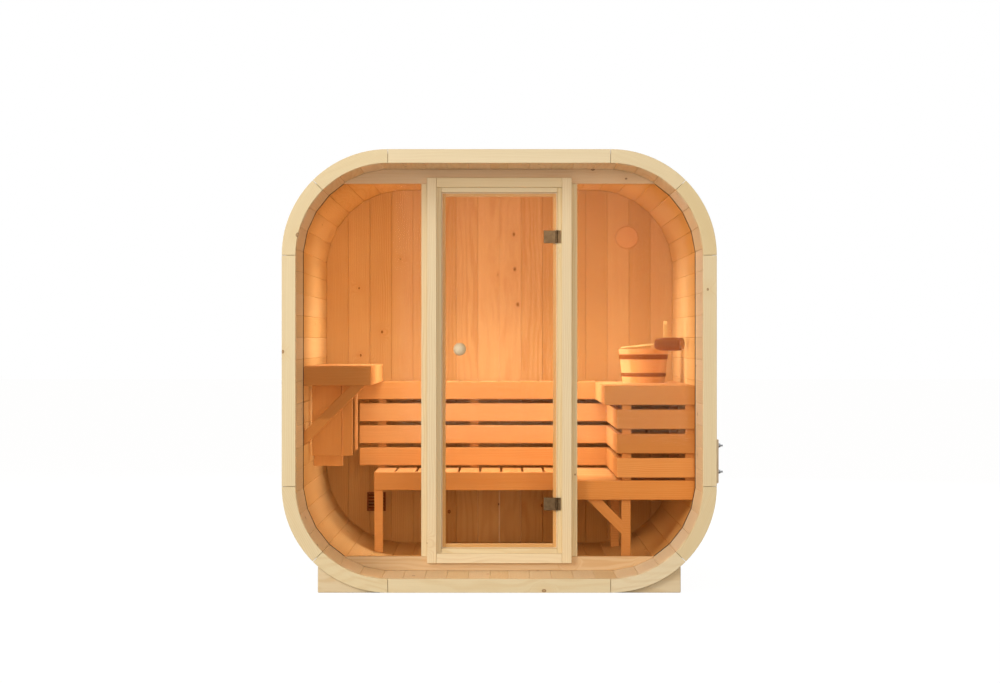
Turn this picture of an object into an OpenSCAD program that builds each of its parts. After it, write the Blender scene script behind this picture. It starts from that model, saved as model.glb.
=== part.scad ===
// Rounded-square stave sauna cabin: a shell of staves between two trim rings on three cradles,
// with a recessed glass front, a hinged glass door and stepped benches along two walls.
// Millimetres. X runs across the front, Y from the front to the back, Z up.
// The origin is on the ground, under the middle of the cabin.

/* [Cabin] */
// Width across the trim rings
cabin_w = 2050; // [1900:10:2500]
// Height from the ground to the top of the trim rings
cabin_h = 2093; // [2060:10:2520]
// Depth over both trim rings
cabin_d = 2000; // [1900:10:2600]
// Outer radius of the trim rings' corners
corner_r = 500; // [420:5:560]

/* [Shell] */
// Thickness of the staves
stave_t = 45; // [30:1:55]
// Number of flat staves in each corner
corner_staves = 6; // [4:1:9]
// Angle from the straight wall to the first corner stave's edge
first_angle = 4.2; // [2:0.1:6]
// Thickness of the back wall's boards
back_wall_t = 42; // [25:1:60]
// Depth of the recess behind the back wall
back_recess = 33; // [30:1:80]

/* [Trim rings and cradles] */
// Width of the trim rings' faces
trim_w = 65; // [60:1:90]
// Thickness of the trim rings
trim_t = 28; // [18:1:40]
// How far the trim rings stand out past the staves
trim_overhang = 20; // [10:1:25]
// Open joint between two pieces of trim
trim_gap = 2; // [1:0.5:4]
// Gap between the ground and the trim rings
ground_gap = 3; // [1:1:10]
// Half the length of a cradle
cradle_half = 857; // [760:1:870]
// Height of a cradle's horns
cradle_h = 124; // [100:1:160]
// Thickness of a cradle
cradle_t = 45; // [35:1:80]

/* [Steel bands] */
// Width of a band
band_w = 20; // [12:1:30]
// Thickness of a band
band_t = 1.5; // [1:0.5:3]
// Distance from the cabin's end to a band's middle
band_inset = 150; // [100:5:250]
// Height of a tensioner block's middle
tensioner_z = 615; // [560:5:1400]
// Length of a tensioner block
tensioner_len = 210; // [180:1:260]
// Width of a tensioner block
tensioner_w = 44; // [30:1:60]
// Thickness of a tensioner block
tensioner_t = 39; // [22:1:40]
// Diameter of a tensioner bolt
bolt_d = 10; // [6:1:14]
// Length of a tensioner bolt past its block
bolt_len = 21; // [16:1:40]
// Distance between a tensioner's bolts
bolt_pitch = 125; // [90:1:160]

/* [Front wall] */
// Depth of the porch in front of the door frame
porch_d = 391; // [150:5:500]
// Thickness of the frame's timbers
frame_t = 45; // [38:1:60]
// Height of the bottom rail's top edge
rail_low = 137; // [120:1:200]
// Height of the top rail below the inner ceiling
rail_drop = 71; // [50:1:120]
// Width of a door post
post_w = 98; // [85:1:120]
// Setback of the side panes behind the frame's face
pane_setback = 20; // [10:1:25]
// Thickness of the glass
glass_t = 8; // [6:1:12]
// How deep the panes sit in their grooves
glass_seat = 12; // [6:1:18]
// Clearance around a pane in its groove
glass_fit = 0.4; // [0.2:0.1:0.8]

/* [Door] */
// Width of the door opening
opening_w = 566; // [500:2:700]
// Height of the bottom of the door opening
opening_low = 176; // [160:1:220]
// Height of the top rail above the door opening
head_h = 42; // [30:1:80]
// Clearance between the door and its frame
door_clear = 5; // [5:0.5:8]
// Setback of the door's glass behind the frame's face
door_setback = 10; // [6:1:18]
// Width of the stop strips that show inside the opening
stop_w = 20; // [15:1:30]
// Width of the casing boards
casing_w = 47; // [40:1:60]
// Thickness of the casing boards
casing_t = 27; // [18:1:35]
// Distance from the opening to the casing
casing_reveal = 23; // [18:1:30]
// Height of a hinge
hinge_h = 62; // [50:1:90]
// Width of the hinge leaf on the glass
hinge_leaf_w = 61; // [40:1:80]
// Width of the hinge leaf on the post
hinge_post_w = 14; // [10:1:18]
// Thickness of the hinge leaves
hinge_leaf_t = 4; // [3:0.5:5]
// Diameter of the hinge barrel
barrel_d = 10; // [8:1:12]
// Diameter of the hinge pin
pin_d = 5; // [4:0.5:6]
// Clearance around the hinge pin
pin_fit = 0.2; // [0.1:0.05:0.4]
// Distance from the opening's ends to the middle of a hinge
hinge_inset = 217; // [120:1:400]
// Diameter of the door knobs
knob_d = 62; // [40:1:70]
// Height of the door knobs
knob_z = 1149; // [950:1:1250]
// Distance from the door's free edge to the knobs' middle
knob_inset = 85; // [50:1:120]

/* [Benches] */
// Height of the upper benches
upper_z = 970; // [900:5:1000]
// Height of the lower benches
lower_z = 504; // [450:1:520]
// Height of the raised shelf on the left
shelf_z = 1065; // [1065:1:1150]
// Depth of the upper bench along the back wall
back_bench_d = 364; // [300:1:450]
// Width of the upper bench along the right wall
side_bench_w = 444; // [380:1:520]
// Distance from the back wall to the lower back bench's front
lower_back_d = 749; // [700:1:800]
// Distance from the left wall to the lower back bench's end
lower_back_inset = 305; // [250:1:400]
// Width of the lower bench along the right wall
lower_side_w = 620; // [560:1:640]
// Width of the raised shelf
shelf_w = 329; // [260:1:340]
// How far the raised shelf laps over the back bench
shelf_lap = 40; // [30:1:60]
// Gap between the door frame and the side benches
bench_gap = 10; // [5:1:40]
// Height of an apron board
apron_h = 95; // [80:1:110]
// Thickness of bench boards and slats
board_t = 28; // [20:1:32]
// Wanted width of a seat slat
slat_w = 95; // [70:1:120]
// Gap between seat slats
slat_gap = 12; // [8:1:20]
// Height of a skirt slat
skirt_h = 96; // [70:1:100]
// Gap between skirt slats
skirt_gap = 23; // [15:1:30]
// Gap under the lowest skirt slat
skirt_foot = 14; // [8:1:20]
// Number of skirt slats
skirt_slats = 3; // [1:1:3]
// Setback of the skirts behind the aprons
skirt_setback = 8; // [4:1:14]
// Setback of the skirt behind the side bench's edge
side_skirt_in = 61; // [40:1:80]
// Thickness of bearers, posts and legs
bearer_t = 45; // [38:1:60]
// Width of a brace
brace_w = 50; // [40:1:60]

/* [Guard under the shelf] */
// Distance from the shelf's front to the guard
guard_in = 359; // [300:1:400]
// Thickness of the guard boards
guard_t = 22; // [16:1:26]
// Height of the guard boards' lower ends
guard_low = 608; // [560:1:700]
// Height of the inner panel's lower end
guard_panel_low = 545; // [520:1:600]
// Depth of the guard from its front to its rear batten
guard_d = 613; // [500:1:640]

/* [Vents] */
// Diameter of the vent disc
vent_d = 126; // [80:1:150]
// Thickness of the vent disc
vent_t = 20; // [12:1:30]
// Distance from the right wall to the vent disc's middle
vent_in = 252; // [220:1:300]
// Distance from the ceiling to the vent disc's middle
vent_down = 264; // [240:1:320]
// Width and height of the louvre vent
louvre_size = 104; // [80:1:120]
// Distance from the left wall to the louvre vent's middle
louvre_in = 277; // [250:1:340]
// Height of the louvre vent's middle above the floor boards
louvre_up = 230; // [220:1:280]

/* [Bucket and ladle] */
// Diameter of the bucket at its rim
rim_d = 260; // [200:1:280]
// Diameter of the bucket at its base
base_d = 220; // [180:1:230]
// Height of the bucket
bucket_h = 177; // [140:1:220]
// Thickness of the bucket's staves
bucket_t = 16; // [10:1:20]
// Distance from the right wall to the bucket's middle
bucket_in = 205; // [160:1:220]
// Height of the bucket's handle above its rim
handle_h = 147; // [100:1:180]
// Diameter of the ladle's cup
cup_d = 68; // [50:1:74]
// Length of the ladle's cup
cup_len = 150; // [100:1:160]

/* [Hidden] */

// Colours
spruce = "#E6D2AC";
spruce_shade = "#D9B98A";
bench_wood = "#E8B482";
bronze_glass = [0.82, 0.50, 0.28, 0.35];
steel = "#9A9C9E";
hinge_metal = "#8B734B";
dark_wood = "#6B4226";

// Smoothness of round parts
$fn = 64;
// Fit between two fixed boards that meet face to face
fit = 0.2;
// Width of the joint between two staves
stave_joint = 0.4;
// Length used for cutting past a face
past = 5;

// Main planes, from the front to the back
front_y = -cabin_d / 2;
back_y = cabin_d / 2;
stave_y0 = front_y + trim_t;
stave_y1 = back_y - trim_t;
frame_y0 = front_y + porch_d;
frame_y1 = frame_y0 + frame_t;
pane_y0 = frame_y0 + pane_setback;
door_y0 = frame_y0 + door_setback;
door_y1 = door_y0 + glass_t;
wall_y1 = back_y - back_recess;
wall_y0 = wall_y1 - back_wall_t;

// Shell section, seen from the front
shell_inset = trim_overhang + stave_t;
inner_half = cabin_w / 2 - shell_inset;
inner_low = ground_gap + shell_inset;
inner_high = cabin_h - shell_inset;
inner_r = corner_r - shell_inset;
centre_x = inner_half - inner_r;
centre_low = inner_low + inner_r;
centre_high = inner_high - inner_r;
stave_turn = (90 - 2 * first_angle) / corner_staves;
edges_per_side = corner_staves + 1;
outline_size = 4 * edges_per_side;

// Steel bands: their places along Y, and their outer face at the side wall
band_ys = [front_y + band_inset, back_y - band_inset];
band_x = inner_half + stave_t + fit + band_t;
bolt_lift = 13;

// Front wall and door
rail_high = inner_high - rail_drop;
opening_half = opening_w / 2;
opening_high = rail_high - head_h;
post_outer = opening_half + post_w;
casing_in = opening_half + casing_reveal;
casing_out = casing_in + casing_w;
casing_low = opening_low - casing_reveal;
casing_high = opening_high + casing_reveal;
stop_y0 = door_y1 + door_clear;
stop_y1 = frame_y1 + stop_w / 2;
hinge_x = opening_half - door_clear / 2;
barrel_gap = 1;
hinge_y = frame_y0 - barrel_d / 2 - barrel_gap;
hinge_heights = [opening_low + hinge_inset, opening_high - hinge_inset];
knuckle_gap = 0.5;
knob_x = -opening_half + door_clear + knob_inset;
spindle_d = 12;
knob_neck_d = 26;
knob_reach = 56;

// Benches
board_joint = 0.4;
side_y0 = frame_y1 + bench_gap;
slat_z0 = upper_z - board_t;
bearer_z0 = slat_z0 - bearer_t;
back_front_y = wall_y0 - back_bench_d;
back_post_y = back_front_y + skirt_setback + board_t;
side_x0 = inner_half - side_bench_w;
side_skirt_x = side_x0 + side_skirt_in;
side_post_x = side_skirt_x + board_t;
side_post_y = side_y0 + skirt_setback + board_t;
lower_slat_z0 = lower_z - board_t;
lower_bearer_z0 = lower_slat_z0 - bearer_t;
lower_front_y = wall_y0 - lower_back_d;
lower_back_y = back_post_y + bearer_t;
lower_left_x = -inner_half + lower_back_inset;
lower_side_x = inner_half - lower_side_w;
leg_shift = 4;
leg_x = side_post_x - leg_shift;
leg_brace_z = 240;
skirt_past = 101;
skirt_left_x = lower_left_x - skirt_past;
skirt_pitch = skirt_h + skirt_gap;

// Raised shelf and guard
shelf_x = -inner_half + shelf_w;
shelf_slat_z0 = shelf_z - board_t;
shelf_bearer_z0 = shelf_slat_z0 - bearer_t;
shelf_low = shelf_z - apron_h;
shelf_back_y = back_front_y + shelf_lap;
guard_y = side_y0 + guard_in;
guard_panel_y = guard_y + guard_d / 3;
guard_batten_y = guard_y + guard_d;
guard_wall_gap = 12;
guard_x = -inner_half + guard_wall_gap;
guard_board_w = 149;
guard_board_gap = 7;
guard_strip_x = guard_x + guard_board_w + guard_board_gap;
guard_strip_w = 48;
guard_panel_shift = -8;
guard_panel_x = guard_x + guard_panel_shift;
guard_panel_w = 150;
guard_batten_w = 14;
shelf_brace_z = 672;

// Bucket and ladle
bucket_x = inner_half - bucket_in;
bucket_back = 720;
bucket_y = wall_y0 - bucket_back;
handle_t = 26;
handle_w = 60;
hoop_t = 2;
hoop_zs = [[33, 53], [123, 149]];
ladle_d = 11;
rim_centre = [bucket_x, bucket_y, upper_z + bucket_h];
cup_tail = rim_centre + [45, -275, 26];
cup_turn = -30;
grip_gap = 0.5;
grip_end = rim_centre + [-113, 38, ladle_d / 2 + grip_gap];

// Solid box between two opposite corners
module block(low, high) {
    translate(low)
        cube(high - low);
}

// A flat outline in X and Z, made solid from y0 to y1
module along_y(y0, y1) {
    translate([0, y1, 0])
        rotate([90, 0, 0])
            linear_extrude(y1 - y0)
                children();
}

// Point i of corner q of the shell's outline, at a distance out from its inner face
function outline_point(q, i, out) =
    let (a = 90 * q + first_angle + i * stave_turn)
    let (r = (inner_r + out) / cos(first_angle))
    let (x = (q == 0 || q == 3) ? centre_x : -centre_x)
    let (z = q < 2 ? centre_high : centre_low)
    [x + r * cos(a), z + r * sin(a)];

// The shell's whole outline, at a distance out from its inner face
function outline(out) = [
    for (q = [0:3])
        for (i = [0:corner_staves])
            outline_point(q, i, out)
];

function between(p, q, share) = p + (q - p) * share;

// One straight stretch of the shell, from outline point k to the next
module stave(k) {
    inner = outline(0);
    outer = outline(stave_t);
    next = (k + 1) % outline_size;
    share = stave_joint / 2 / norm(inner[next] - inner[k]);
    along_y(stave_y0, stave_y1)
        polygon([
            between(inner[k], inner[next], share),
            between(inner[k], inner[next], 1 - share),
            between(outer[k], outer[next], 1 - share),
            between(outer[k], outer[next], share)
        ]);
}

// The space inside the shell, from y0 to y1
module inside(y0, y1, gap) {
    along_y(y0, y1)
        polygon(outline(-gap));
}

// The straight wall that follows corner q
module straight_staves(q) {
    color(spruce)
        stave(q * edges_per_side + corner_staves);
}

// The flat staves of corner q
module corner(q) {
    color(spruce)
        for (i = [0:corner_staves - 1])
            stave(q * edges_per_side + i);
}

module back_wall() {
    color(spruce)
        inside(wall_y0, wall_y1, fit);
}

// Four straight pieces of a trim ring whose front face is at y0
module trim_boards(y0) {
    half_x = centre_x - trim_gap / 2;
    side_x = cabin_w / 2;
    color(spruce) {
        for (z = [ground_gap, cabin_h - trim_w])
            block([-half_x, y0, z], [half_x, y0 + trim_t, z + trim_w]);
        for (x = [-side_x, side_x - trim_w])
            block([x, y0, centre_low + trim_gap / 2],
                  [x + trim_w, y0 + trim_t, centre_high - trim_gap / 2]);
    }
}

// Eight curved pieces of a trim ring whose front face is at y0, two to a corner
module trim_corners(y0) {
    cut = trim_gap / 2 / (corner_r - trim_w / 2) * 180 / PI;
    color(spruce)
        for (q = [0:3])
            for (half = [0, 1])
                translate([0, y0 + trim_t, 0])
                    rotate([90, 0, 0])
                        translate([(q == 0 || q == 3) ? centre_x : -centre_x,
                                   q < 2 ? centre_high : centre_low, 0])
                            rotate([0, 0, 90 * q + 45 * half + cut])
                                rotate_extrude(angle = 45 - 2 * cut, $fn = 128)
                                    translate([corner_r - trim_w, 0])
                                        square([trim_w, trim_t]);
}

// Planks on edge, with the shell's outside cut out of them
module cradles() {
    color(spruce_shade)
        for (y = [stave_y0, -cradle_t / 2, stave_y1 - cradle_t])
            difference() {
                block([-cradle_half, y, 0], [cradle_half, y + cradle_t, cradle_h]);
                along_y(y - past, y + cradle_t + past)
                    polygon(outline(stave_t + fit));
            }
}

module steel_bands() {
    color(steel)
        for (y = band_ys)
            difference() {
                along_y(y - band_w / 2, y + band_w / 2)
                    polygon(outline(stave_t + fit + band_t));
                along_y(y - band_w / 2 - past, y + band_w / 2 + past)
                    polygon(outline(stave_t + fit));
            }
}

module band_tensioners() {
    color(spruce_shade)
        for (y = band_ys)
            block([band_x + fit, y - tensioner_w / 2, tensioner_z - tensioner_len / 2],
                  [band_x + fit + tensioner_t, y + tensioner_w / 2,
                   tensioner_z + tensioner_len / 2]);
}

// A washer, a hexagon nut and a stud on each end of each tensioner
module tensioner_bolts() {
    washer_d = 2.4 * bolt_d;
    washer_t = 2;
    nut_d = 1.9 * bolt_d;
    nut_t = 8;
    color(steel)
        for (y = band_ys)
            for (side = [-1, 1])
                translate([band_x + 2 * fit + tensioner_t, y,
                           tensioner_z + bolt_lift + side * bolt_pitch / 2])
                    rotate([0, 90, 0]) {
                        cylinder(d = washer_d, h = washer_t);
                        cylinder(d = nut_d, h = washer_t + nut_t, $fn = 6);
                        cylinder(d = bolt_d, h = bolt_len);
                    }
}

// The side pane's space on the side given by -1 or 1, grown by a clearance
module pane_space(side, grow) {
    x = post_outer - glass_seat - grow;
    intersection() {
        inside(pane_y0 - grow, pane_y0 + glass_t + grow, fit - grow);
        block([side > 0 ? x : -cabin_w, pane_y0 - past, rail_low - glass_seat - grow],
              [side > 0 ? cabin_w : -x, pane_y0 + glass_t + past,
               rail_high + glass_seat + grow]);
    }
}

// Timbers under and over the glass front, grooved for the panes
module wall_rails() {
    color(spruce)
        for (zs = [[0, rail_low], [rail_high, cabin_h]])
            difference() {
                intersection() {
                    inside(frame_y0, frame_y1, fit);
                    block([-cabin_w, frame_y0 - past, zs[0]], [cabin_w, frame_y1 + past, zs[1]]);
                }
                for (side = [-1, 1])
                    pane_space(side, glass_fit);
            }
}

module side_panes() {
    color(bronze_glass)
        for (side = [-1, 1])
            pane_space(side, 0);
}

// Posts on both sides of the door, grooved for the panes
module door_posts() {
    color(spruce)
        for (side = [-1, 1])
            difference() {
                block([side > 0 ? opening_half : -post_outer, frame_y0, rail_low + fit],
                      [side > 0 ? post_outer : -opening_half, frame_y1, rail_high - fit]);
                pane_space(side, glass_fit);
            }
}

module door_head_and_sill() {
    half = opening_half - fit;
    color(spruce) {
        block([-half, frame_y0, opening_high], [half, frame_y1, rail_high - fit]);
        block([-half, frame_y0, rail_low + fit], [half, frame_y1, opening_low]);
    }
}

// Boards around the door, on the frame's face
module door_casing() {
    y0 = frame_y0 - fit - casing_t;
    y1 = frame_y0 - fit;
    color(spruce) {
        for (x = [-casing_out, casing_in])
            block([x, y0, casing_low - casing_w], [x + casing_w, y1, casing_high + casing_w]);
        for (z = [casing_low - casing_w, casing_high])
            block([-casing_in + board_joint, y0, z],
                  [casing_in - board_joint, y1, z + casing_w]);
    }
}

// Strips inside the opening that the door closes against
module door_stops() {
    in = opening_half - stop_w;
    color(spruce_shade) {
        for (x = [-opening_half + fit, in])
            block([x, stop_y0, opening_low + fit],
                  [x + stop_w - fit, stop_y1, opening_high - fit]);
        for (z = [opening_low + fit, opening_high - stop_w])
            block([-in + board_joint, stop_y0, z],
                  [in - board_joint, stop_y1, z + stop_w - fit]);
    }
}

// Fixed half of each hinge: a leaf on the post, two knuckles and the pin
module post_hinges() {
    knuckle_h = hinge_h / 3;
    leaf_x = hinge_x + barrel_d / 2 + knuckle_gap;
    leaf_lap = 1;
    color(hinge_metal)
        for (z = hinge_heights) {
            block([leaf_x, frame_y0 - fit - hinge_leaf_t, z - hinge_h / 2],
                  [leaf_x + hinge_post_w, frame_y0 - fit, z + hinge_h / 2]);
            for (end = [z - hinge_h / 2, z + hinge_h / 2 - knuckle_h]) {
                translate([hinge_x, hinge_y, end])
                    cylinder(d = barrel_d, h = knuckle_h);
                block([hinge_x, hinge_y, end],
                      [leaf_x + leaf_lap, hinge_y + barrel_d / 2, end + knuckle_h]);
            }
            translate([hinge_x, hinge_y, z - hinge_h / 2])
                cylinder(d = pin_d, h = hinge_h);
        }
}

// Round bar through the glass at the middle of the knobs
module spindle(d, y0, y1) {
    translate([knob_x, y0, knob_z])
        rotate([-90, 0, 0])
            cylinder(d = d, h = y1 - y0);
}

module glass_door() {
    half = opening_half - door_clear;
    color(bronze_glass)
        difference() {
            block([-half, door_y0, opening_low + door_clear],
                  [half, door_y1, opening_high - door_clear]);
            spindle(spindle_d + 2 * fit, door_y0 - past, door_y1 + past);
        }
}

// Moving half of each hinge: leaves on both faces of the glass and the middle knuckle
module door_hinges() {
    knuckle_h = hinge_h / 3 - 2 * knuckle_gap;
    leaf_x1 = opening_half - door_clear - fit;
    leaf_x0 = leaf_x1 - hinge_leaf_w;
    color(hinge_metal)
        for (z = hinge_heights) {
            difference() {
                union() {
                    block([leaf_x0, door_y0 - fit - hinge_leaf_t, z - hinge_h / 2],
                          [leaf_x1, door_y0 - fit, z + hinge_h / 2]);
                    block([hinge_x - barrel_d / 2, hinge_y, z - knuckle_h / 2],
                          [leaf_x1, door_y0 - fit, z + knuckle_h / 2]);
                    translate([hinge_x, hinge_y, z - knuckle_h / 2])
                        cylinder(d = barrel_d, h = knuckle_h);
                }
                translate([hinge_x, hinge_y, z - hinge_h])
                    cylinder(d = pin_d + 2 * pin_fit, h = 2 * hinge_h);
            }
            block([leaf_x0, door_y1 + fit, z - hinge_h / 2],
                  [leaf_x1 - stop_w, door_y1 + fit + hinge_leaf_t, z + hinge_h / 2]);
        }
}

// Ball and neck turned about Z, standing on its neck
module knob_half() {
    ball_r = knob_d / 2;
    rotate_extrude()
        intersection() {
            union() {
                square([knob_neck_d / 2, knob_reach - ball_r]);
                translate([0, knob_reach - ball_r])
                    circle(r = ball_r);
            }
            square([ball_r, knob_reach]);
        }
}

module door_knobs() {
    color(spruce) {
        translate([knob_x, door_y0 - fit, knob_z])
            rotate([90, 0, 0])
                knob_half();
        translate([knob_x, door_y1 + fit, knob_z])
            rotate([-90, 0, 0])
                knob_half();
        spindle(spindle_d, door_y0 - past, door_y1 + past);
    }
}

// Seat slats that run along Y, side by side from low[0] to high[0]
module slats_along_y(low, high) {
    span = high[0] - low[0];
    count = round((span + slat_gap) / (slat_w + slat_gap));
    pitch = (span + slat_gap) / count;
    color(bench_wood)
        for (i = [0:count - 1])
            block([low[0] + i * pitch, low[1], low[2]],
                  [low[0] + (i + 1) * pitch - slat_gap, high[1], high[2]]);
}

// Seat slats that run along X, one behind another from low[1] to high[1]
module slats_along_x(low, high) {
    span = high[1] - low[1];
    count = round((span + slat_gap) / (slat_w + slat_gap));
    pitch = (span + slat_gap) / count;
    color(bench_wood)
        for (i = [0:count - 1])
            block([low[0], low[1] + i * pitch, low[2]],
                  [high[0], low[1] + (i + 1) * pitch - slat_gap, high[2]]);
}

// Apron board and the skirt slats below it
module bench_boards(apron_low, apron_high, skirt_low, skirt_high) {
    color(bench_wood) {
        block([apron_low[0], apron_low[1], upper_z - apron_h],
              [apron_high[0], apron_high[1], upper_z]);
        for (i = [0:skirt_slats - 1])
            block([skirt_low[0], skirt_low[1], lower_z + skirt_foot + i * skirt_pitch],
                  [skirt_high[0], skirt_high[1],
                   lower_z + skirt_foot + i * skirt_pitch + skirt_h]);
    }
}

module back_bench_top() {
    slats_along_y([-inner_half + fit, back_front_y + board_t + board_joint, slat_z0],
                  [inner_half - fit, wall_y0 - fit, upper_z]);
}

module back_bench_front() {
    skirt_y = back_front_y + skirt_setback;
    bench_boards([-inner_half + fit, back_front_y],
                 [inner_half - fit, back_front_y + board_t],
                 [skirt_left_x, skirt_y],
                 [side_post_x, skirt_y + board_t - fit]);
}

// Bearers from wall to wall, with posts that stand on the lower bench
module back_bench_frame() {
    front = back_front_y + board_t + fit;
    color(bench_wood) {
        for (y = [front, wall_y0 - fit - bearer_t])
            block([-inner_half + fit, y, bearer_z0],
                  [inner_half - fit, y + bearer_t, slat_z0 - fit]);
        for (x = [lower_left_x, lower_side_x - bearer_t, (lower_left_x + lower_side_x) / 2])
            block([x, back_post_y, lower_z + fit],
                  [x + bearer_t, back_post_y + bearer_t - fit, bearer_z0 + fit]);
    }
}

module side_bench_top() {
    slats_along_x([side_x0 + board_t + board_joint, side_y0 + board_t + board_joint, slat_z0],
                  [inner_half - fit, back_front_y - fit, upper_z]);
}

module side_bench_front() {
    skirt_y = side_y0 + skirt_setback;
    bench_boards([side_x0, side_y0],
                 [inner_half - fit, side_y0 + board_t],
                 [side_skirt_x, skirt_y],
                 [inner_half - fit, skirt_y + board_t - fit]);
}

module side_bench_side() {
    bench_boards([side_x0, side_y0 + board_t + board_joint],
                 [side_x0 + board_t, back_front_y - fit],
                 [side_skirt_x, side_post_y + board_joint],
                 [side_skirt_x + board_t - fit, back_front_y + skirt_setback - fit]);
}

// Bearers along the side bench, and a post at each end of two cross bearers
module side_bench_frame() {
    inner_x = side_x0 + board_t + fit;
    wall_x = inner_half - fit - bearer_t;
    y1 = back_front_y - fit;
    color(bench_wood) {
        for (x = [inner_x, wall_x])
            block([x, side_y0 + board_t + fit, bearer_z0], [x + bearer_t, y1, slat_z0 - fit]);
        for (y = [side_post_y, y1 - bearer_t]) {
            block([inner_x, y, bearer_z0], [inner_half - fit, y + bearer_t, slat_z0 - fit]);
            for (x = [side_post_x, wall_x])
                block([x, y, lower_z + fit], [x + bearer_t, y + bearer_t, bearer_z0 + fit]);
        }
    }
}

module lower_back_top() {
    slats_along_y([lower_left_x, lower_front_y + board_t + board_joint, lower_slat_z0],
                  [lower_side_x - fit, lower_back_y, lower_z]);
}

module lower_back_front() {
    color(bench_wood)
        block([lower_left_x, lower_front_y, lower_z - apron_h],
              [lower_side_x - fit, lower_front_y + board_t, lower_z]);
}

// Bearers, an end beam that runs to the back wall, and the leg at the free end
module lower_back_frame() {
    front = lower_front_y + board_t + fit;
    high = lower_slat_z0 - fit;
    color(bench_wood) {
        for (y = [front, lower_back_y - bearer_t])
            block([lower_left_x, y, lower_bearer_z0], [lower_side_x - fit, y + bearer_t, high]);
        block([lower_left_x, front, lower_bearer_z0],
              [lower_left_x + bearer_t, wall_y0 - fit, high]);
        intersection() {
            block([lower_left_x, front, 0],
                  [lower_left_x + bearer_t, front + bearer_t, lower_bearer_z0 + fit]);
            inside(front, front + bearer_t, fit);
        }
    }
}

// Keeps what lies inside the shell's curve
module cut_to_shell() {
    intersection() {
        children();
        inside(frame_y1, wall_y0, fit);
    }
}

module lower_side_top() {
    cut_to_shell()
        slats_along_x([lower_side_x + board_t + board_joint, side_y0 + board_t + board_joint,
                       lower_slat_z0],
                      [inner_half, lower_back_y, lower_z]);
}

// Front apron, and the side apron that faces the door
module lower_side_front() {
    z0 = lower_z - apron_h;
    color(bench_wood)
        cut_to_shell() {
            block([lower_side_x, side_y0, z0], [inner_half, side_y0 + board_t, lower_z]);
            block([lower_side_x, side_y0 + board_t + board_joint, z0],
                  [lower_side_x + board_t, lower_back_y, lower_z]);
        }
}

// Bearers along the lower side bench, on two legs with cross bearers and a brace
module lower_side_frame() {
    inner_x = lower_side_x + board_t + fit;
    front = side_y0 + board_t + fit;
    high = lower_slat_z0 - fit;
    rise = brace_w * sqrt(2);
    brace_z = lower_bearer_z0 + fit;
    color(bench_wood)
        cut_to_shell() {
            for (x = [inner_x, inner_half - bearer_t])
                block([x, front, lower_bearer_z0], [x + bearer_t, lower_back_y, high]);
            for (y = [front, lower_back_y - 2 * bearer_t]) {
                block([inner_x, y, lower_bearer_z0], [inner_half, y + bearer_t, high]);
                block([leg_x, y, 0], [leg_x + bearer_t, y + bearer_t, brace_z]);
            }
            along_y(front, front + bearer_t)
                polygon([
                    [leg_x + fit, leg_brace_z],
                    [leg_x + fit, leg_brace_z + rise],
                    [leg_x + fit - (brace_z - leg_brace_z - rise), brace_z],
                    [leg_x + fit - (brace_z - leg_brace_z), brace_z]
                ]);
        }
}

module shelf_top() {
    slats_along_x([-inner_half + fit, side_y0 + board_t + board_joint, shelf_slat_z0],
                  [shelf_x - board_t - board_joint, shelf_back_y, shelf_z]);
}

module shelf_front() {
    low = shelf_low + fit;
    color(bench_wood) {
        block([-inner_half + fit, side_y0, low], [shelf_x, side_y0 + board_t, shelf_z]);
        block([shelf_x - board_t, side_y0 + board_t + board_joint, low],
              [shelf_x, shelf_back_y, shelf_z]);
    }
}

// Bearers along the shelf, cross bearers over the guard, and the brace at the front
module shelf_frame() {
    wall_x = -inner_half + fit;
    inner_x = shelf_x - board_t - fit;
    front = side_y0 + board_t + fit;
    high = shelf_slat_z0 - fit;
    rise = brace_w * sqrt(2);
    reach = inner_x - wall_x;
    brace_z = shelf_bearer_z0 + fit;
    color(bench_wood) {
        for (x = [wall_x, inner_x - bearer_t])
            block([x, front, shelf_bearer_z0], [x + bearer_t, shelf_back_y, high]);
        for (y = [front, guard_y, guard_panel_y, guard_batten_y, shelf_back_y - bearer_t])
            block([wall_x, y, shelf_bearer_z0], [inner_x, y + bearer_t, high]);
        along_y(front, front + bearer_t)
            polygon([
                [wall_x, shelf_brace_z],
                [inner_x, shelf_brace_z + reach],
                [inner_x, brace_z],
                [wall_x + brace_z - shelf_brace_z - rise, brace_z],
                [wall_x, shelf_brace_z + rise]
            ]);
    }
}

// Boards that hang from the shelf's cross bearers
module guard_boards() {
    z1 = shelf_bearer_z0 - fit;
    color(bench_wood) {
        block([guard_x, guard_y, guard_low], [guard_x + guard_board_w, guard_y + guard_t, z1]);
        block([guard_strip_x, guard_y, guard_low],
              [guard_strip_x + guard_strip_w, guard_y + guard_t, z1]);
        block([guard_panel_x, guard_panel_y, guard_panel_low],
              [guard_panel_x + guard_panel_w, guard_panel_y + guard_t, z1]);
        block([guard_strip_x + guard_strip_w - 2 * guard_batten_w, guard_batten_y, guard_low],
              [guard_strip_x + guard_strip_w - guard_batten_w, guard_batten_y + bearer_t, z1]);
    }
}

module vent_disc() {
    chamfer = 5;
    color(bench_wood)
        translate([inner_half - vent_in, wall_y0 - fit, inner_high - vent_down])
            rotate([90, 0, 0])
                rotate_extrude()
                    polygon([
                        [0, 0],
                        [vent_d / 2, 0],
                        [vent_d / 2, vent_t - chamfer],
                        [vent_d / 2 - chamfer, vent_t],
                        [0, vent_t]
                    ]);
}

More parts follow.
